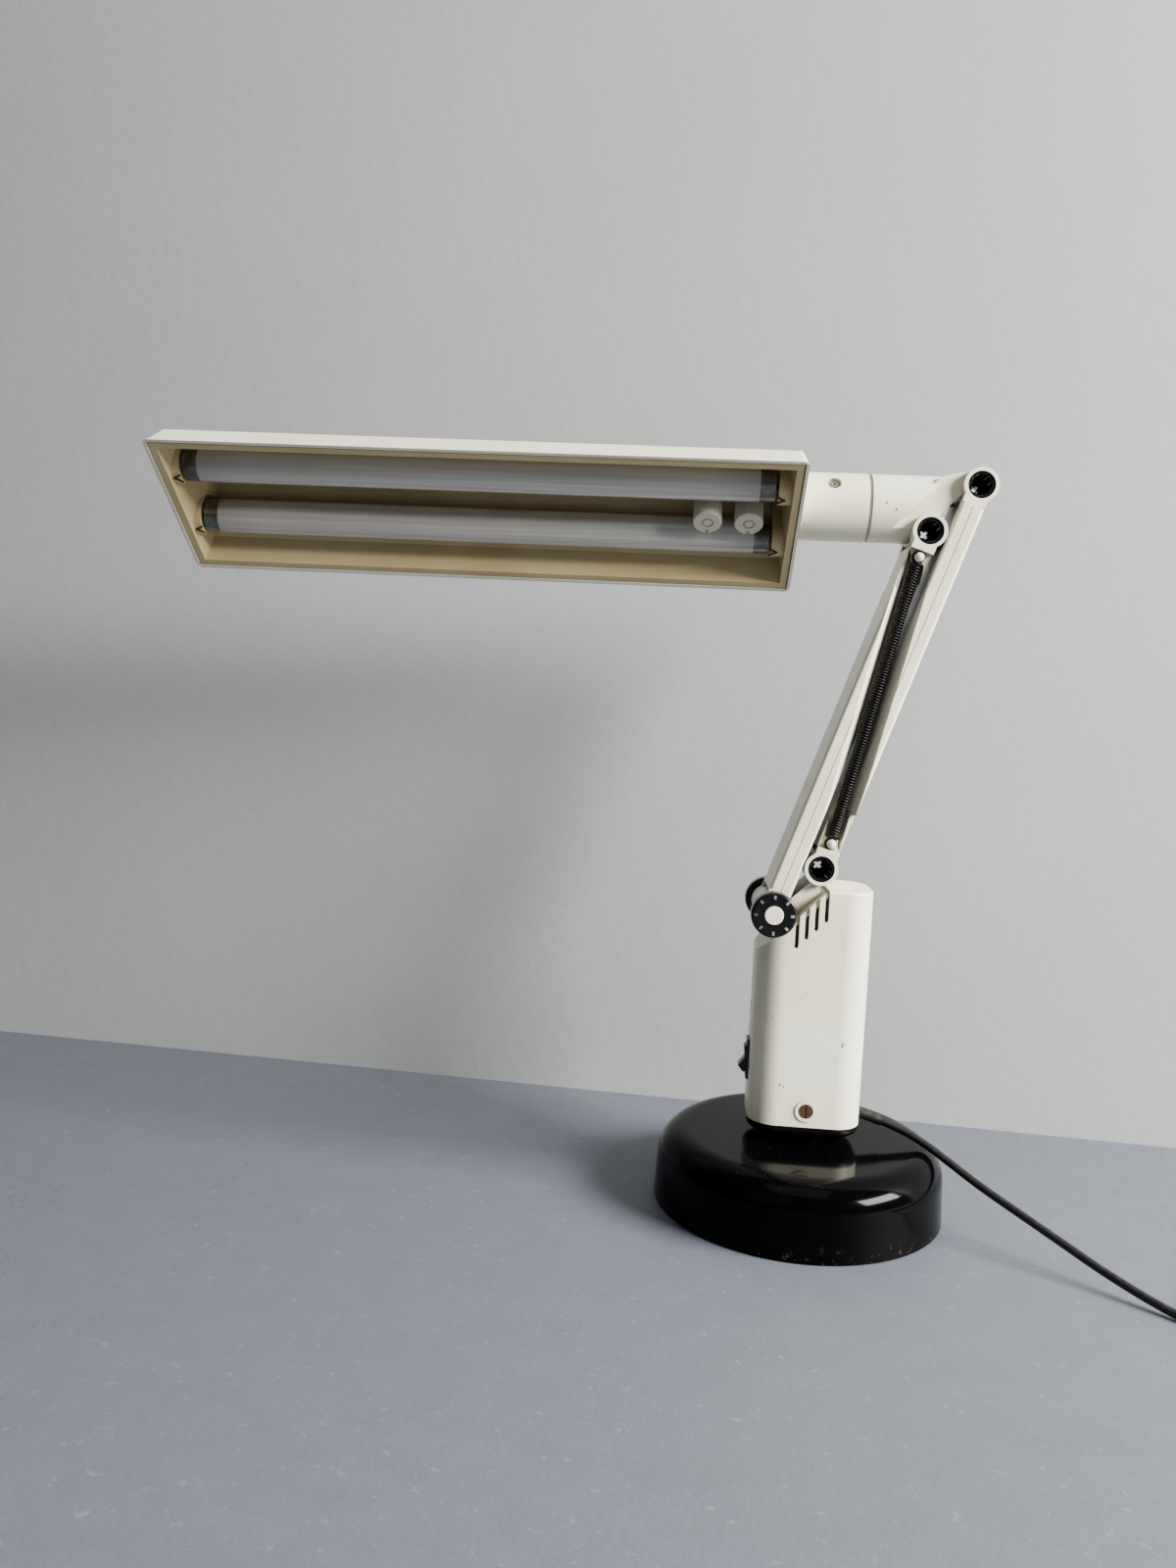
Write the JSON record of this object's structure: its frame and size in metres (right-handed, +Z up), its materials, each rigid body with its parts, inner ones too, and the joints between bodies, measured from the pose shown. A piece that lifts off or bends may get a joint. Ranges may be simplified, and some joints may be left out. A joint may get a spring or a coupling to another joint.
{
  "type": "architect desk lamp",
  "caption": "Desk lamp with a weighted round base, swivelling column, sprung parallelogram arm with clamp knobs and a rolling hood for fluorescent lamps.",
  "frame": {"origin": "centre of the base's underside, on the swivel axis", "axes": "+Z up along the swivel axis, -X the way the arm and the hood reach, -Y the side of the front clamp knob"},
  "size_m": [0.8678, 0.3015, 0.5653],
  "materials": {
    "cream_plastic": "satin, aged",
    "tray_plastic": "yellowed satin",
    "pin_plastic": "satin",
    "starter_plastic": "dusty satin",
    "black_lacquer": "high gloss",
    "black_plastic": "semi-gloss",
    "black_rubber": "matt",
    "iron": "raw casting",
    "core_steel": "laminated core",
    "zinc_steel": "zinc plated",
    "rusty_steel": "rusty",
    "blackened_steel": "oiled black",
    "plated_brass": "nickel plated",
    "lamp_glass": "white coated inside",
    "lamp_cap": "dull"
  },
  "bodies": {
    "base": {"base_cover": "black_lacquer", "base_weight": "iron", "base_pad": "black_rubber", "base_screws": "zinc_steel", "pivot_post": "zinc_steel", "swivel_washer": "zinc_steel", "pivot_nut": "zinc_steel"},
    "column": {"column_shell": "cream_plastic", "column_bottom_cap": "black_plastic", "column_screw": "rusty_steel", "column_bracket": "cream_plastic", "switch_housing": "black_plastic", "ballast_front": "core_steel", "ballast_rear": "core_steel", "ballast_tray": "zinc_steel", "terminal_block": "starter_plastic", "clamp_bolt": "zinc_steel", "cord_gland": "black_rubber", "mains_cord": "black_rubber", "cord_coil": "black_rubber", "plug_body": "black_rubber", "plug_pins": "plated_brass"},
    "rocker": {"switch_rocker": "black_plastic"},
    "front_knob": {"knob_front": "black_plastic", "knob_front_cap": "cream_plastic"},
    "rear_knob": {"knob_rear": "black_plastic", "knob_rear_cap": "cream_plastic"},
    "front_arm": {"front_arm_frame": "cream_plastic", "front_arm_cover": "cream_plastic", "front_arm_spring_pins": "pin_plastic", "front_arm_axle": "black_plastic"},
    "rear_arm": {"rear_arm_frame": "cream_plastic", "rear_arm_cover": "cream_plastic", "rear_arm_spring_pins": "pin_plastic", "rear_arm_axles": "black_plastic"},
    "spring_lower": {"spring_eyes_lower": "blackened_steel", "spring_coil_front": "blackened_steel", "spring_coil_rear": "blackened_steel"},
    "spring_upper": {"spring_eyes_upper": "blackened_steel"},
    "head_bracket": {"head_bracket": "cream_plastic", "roll_washer": "pin_plastic", "roll_nut": "zinc_steel"},
    "head": {"head_tube": "cream_plastic", "tube_screw": "zinc_steel", "head_ring": "zinc_steel", "shade_shell": "cream_plastic", "reflector_tray": "tray_plastic", "lampholders_left": "tray_plastic", "lampholders_right": "tray_plastic", "contact_clips": "blackened_steel", "starter_sockets": "starter_plastic"},
    "lamp_front": {"lamp_glass_front": "lamp_glass", "lamp_caps_front": "lamp_cap"},
    "lamp_rear": {"lamp_glass_rear": "lamp_glass", "lamp_caps_rear": "lamp_cap"},
    "starter_left": {"starter_left": "starter_plastic"},
    "starter_right": {"starter_right": "starter_plastic"}
  },
  "joints": [
    {"name": "base_swivel", "type": "hinge", "parent": "base", "child": "column", "pos_m": [0, 0, 0.0605], "axis": [0, 0, 1], "continuous": true},
    {"name": "arm_fold", "type": "hinge", "parent": "column", "child": "front_arm", "pos_m": [-0.033, 0, 0.2294], "axis": [0, -1, 0], "range_deg": [0, 70]},
    {"name": "rear_arm_fold", "type": "hinge", "parent": "column", "child": "rear_arm", "pos_m": [0.00094, 0, 0.26334], "axis": [0, -1, 0], "range_deg": [-0.1, 70.1]},
    {"name": "head_level", "type": "hinge", "parent": "front_arm", "child": "head_bracket", "pos_m": [0.06318, 0, 0.51356], "axis": [0, -1, 0], "range_deg": [-70.1, 0.1]},
    {"name": "head_roll", "type": "hinge", "parent": "head_bracket", "child": "head", "pos_m": [0.01898, 0, 0.53156], "axis": [1, 0, 0], "range_deg": [-53.8, 126.2]},
    {"name": "spring_hinge", "type": "hinge", "parent": "rear_arm", "child": "spring_lower", "pos_m": [0.00735, 0, 0.28229], "axis": [0, -1, 0], "range_deg": [-0.1, 4.8]},
    {"name": "spring_stretch", "type": "slide", "parent": "spring_lower", "child": "spring_upper", "axis": [0.2267, 0, 0.974], "range_m": [-0.0001, 0.05182], "deforming": ["spring_eyes_lower", "spring_coil_front", "spring_coil_rear", "spring_eyes_upper"]},
    {"name": "front_knob_turn", "type": "hinge", "parent": "column", "child": "front_knob", "pos_m": [-0.033, -0.036, 0.2294], "axis": [0, -1, 0], "range_deg": [-180, 180]},
    {"name": "rear_knob_turn", "type": "hinge", "parent": "column", "child": "rear_knob", "pos_m": [-0.033, 0.036, 0.2294], "axis": [0, -1, 0], "range_deg": [-180, 180]},
    {"name": "switch_rock", "type": "hinge", "parent": "column", "child": "rocker", "pos_m": [-0.041, 0, 0.1103], "axis": [0, -1, 0], "range_deg": [0, 28]},
    {"name": "front_lamp_twist", "type": "hinge", "parent": "head", "child": "lamp_front", "pos_m": [-0.2685, -0.02549, 0.54229], "axis": [1, 0, 0], "range_deg": [0, 90]},
    {"name": "rear_lamp_twist", "type": "hinge", "parent": "head", "child": "lamp_rear", "pos_m": [-0.2685, 0.01793, 0.51051], "axis": [1, 0, 0], "range_deg": [0, 90]},
    {"name": "left_starter_twist", "type": "hinge", "parent": "head", "child": "starter_left", "pos_m": [-0.097, -0.01181, 0.51542], "axis": [0, -0.5906, -0.807], "range_deg": [0, 45]},
    {"name": "right_starter_twist", "type": "hinge", "parent": "head", "child": "starter_right", "pos_m": [-0.0664, -0.01181, 0.51542], "axis": [0, -0.5906, -0.807], "range_deg": [0, 45]}
  ],
  "couplings": [
    {"joint": "rear_arm_fold", "follows": "arm_fold", "ratio": 1},
    {"joint": "head_level", "follows": "arm_fold", "ratio": -1},
    {"joint": "spring_hinge", "follows": "arm_fold", "ratio": 0.06568},
    {"joint": "spring_stretch", "follows": "arm_fold", "m_per_rad": 0.04217}
  ]
}
